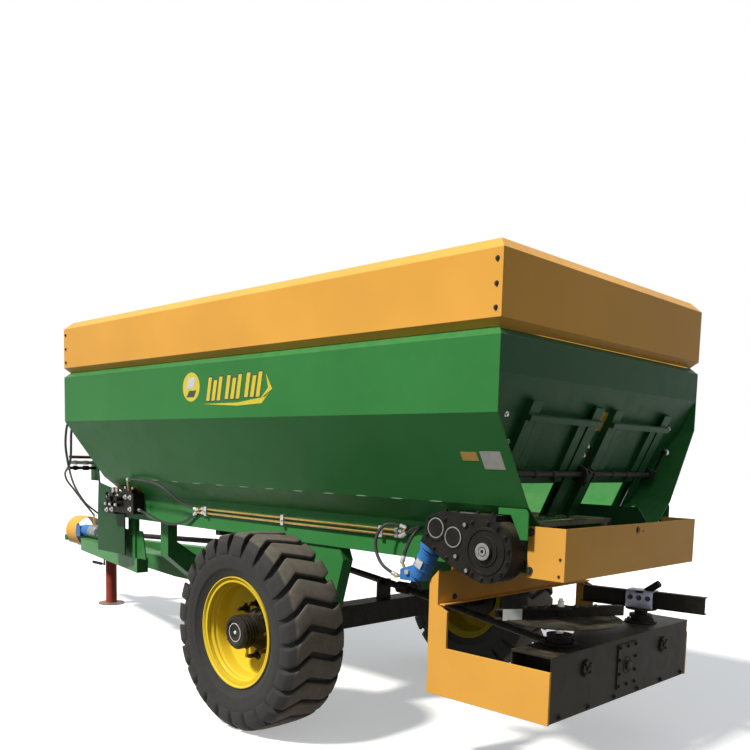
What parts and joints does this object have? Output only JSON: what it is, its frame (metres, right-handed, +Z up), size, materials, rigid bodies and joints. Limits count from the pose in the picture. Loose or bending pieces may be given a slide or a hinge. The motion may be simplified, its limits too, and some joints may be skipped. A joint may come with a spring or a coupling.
{
  "type": "manure spreader",
  "caption": "Trailed manure and fertiliser spreader: open hopper on one axle, moving floor, rear gates, twin spinning discs, drawbar and parking jack.",
  "frame": {"origin": "on the ground under the middle of the machine's length and width", "axes": "+X forward to the drawbar, +Y to the left side, +Z up"},
  "size_m": [7.3133, 2.748, 2.803],
  "materials": {
    "green_paint": "gloss enamel",
    "yellow_paint": "gloss enamel",
    "rim_paint": "gloss enamel",
    "tyre_rubber": "matt rubber",
    "black_paint": "satin enamel",
    "black_casting": "painted casting",
    "chain_steel": "worn steel",
    "zinc_plate": "zinc plated",
    "blue_paint": "gloss enamel",
    "red_paint": "gloss enamel",
    "hose_rubber": "rubber cover"
  },
  "bodies": {
    "chassis": {"axle_beam": "black_paint", "axle_hangers": "green_paint", "chassis_beam_left": "green_paint", "chassis_beam_right": "green_paint", "chassis_crossmembers": "green_paint", "conveyor_chain": "chain_steel", "conveyor_drive_shaft": "chain_steel", "conveyor_floor": "green_paint", "conveyor_idler_shaft": "chain_steel", "conveyor_slats": "chain_steel", "drawbar": "green_paint", "drawbar_arms": "green_paint", "driveline": "black_paint", "extension_front": "yellow_paint", "extension_left": "yellow_paint", "extension_rear": "yellow_paint", "extension_right": "yellow_paint", "gate_frame": "green_paint", "gate_shaft": "black_paint", "gearcase": "black_paint", "hitch_eye": "green_paint", "hopper_front_wall": "green_paint", "hopper_rear_wall": "green_paint", "hopper_side_left": "green_paint", "hopper_side_right": "green_paint", "hose_motor_front": "hose_rubber", "hose_motor_rear": "hose_rubber", "hose_pump_inner": "hose_rubber", "hose_pump_outer": "hose_rubber", "hose_valve_lower": "hose_rubber", "hose_valve_upper": "hose_rubber", "hydraulic_pipes": "zinc_plate", "jack_sleeve": "green_paint", "motor": "blue_paint", "pipe_clamps": "zinc_plate", "pto_guard": "yellow_paint", "pump": "blue_paint", "rear_brackets": "green_paint", "rear_guard": "yellow_paint", "reducer": "black_casting", "shaft_bearings": "black_casting", "spreader_cross_plate": "yellow_paint", "spreader_side_left": "yellow_paint", "spreader_side_right": "yellow_paint", "subframe_post": "green_paint", "valve_block": "black_casting", "valve_plate": "green_paint"},
    "wheel_left": {"tyre_left": "tyre_rubber", "rim_left": "rim_paint", "hub_left": "black_paint"},
    "wheel_right": {"tyre_right": "tyre_rubber", "rim_right": "rim_paint", "hub_right": "black_paint"},
    "spinner_left": {"spinner_disc_left": "black_paint", "spinner_blades_left": "black_paint"},
    "spinner_right": {"spinner_disc_right": "black_paint", "spinner_blades_right": "black_paint"},
    "left_gate": {"gate_left": "green_paint"},
    "right_gate": {"gate_right": "green_paint"},
    "jack": {"jack_leg": "red_paint"}
  },
  "joints": [
    {"name": "wheel_left_spin", "type": "hinge", "parent": "chassis", "child": "wheel_left", "pos_m": [-1.4774, 1.15, 0.625], "axis": [0, 1, 0], "continuous": true},
    {"name": "wheel_right_spin", "type": "hinge", "parent": "chassis", "child": "wheel_right", "pos_m": [-1.4774, -1.15, 0.625], "axis": [0, 1, 0], "continuous": true},
    {"name": "spinner_left_spin", "type": "hinge", "parent": "chassis", "child": "spinner_left", "pos_m": [-3.2754, 0.47, 0.784], "axis": [0, 0, 1], "continuous": true},
    {"name": "spinner_right_spin", "type": "hinge", "parent": "chassis", "child": "spinner_right", "pos_m": [-3.2754, -0.47, 0.784], "axis": [0, 0, 1], "continuous": true},
    {"name": "gate_left_slide", "type": "slide", "parent": "chassis", "child": "left_gate", "axis": [-0.4254, 0, 0.905], "range_m": [-0.205, 0.1]},
    {"name": "gate_right_slide", "type": "slide", "parent": "chassis", "child": "right_gate", "axis": [-0.4254, 0, 0.905], "range_m": [-0.205, 0.1]},
    {"name": "jack_slide", "type": "slide", "parent": "chassis", "child": "jack", "axis": [0, 0, 1], "range_m": [0, 0.3]}
  ],
  "couplings": [
    {"joint": "spinner_right_spin", "follows": "spinner_left_spin", "ratio": -1}
  ]
}
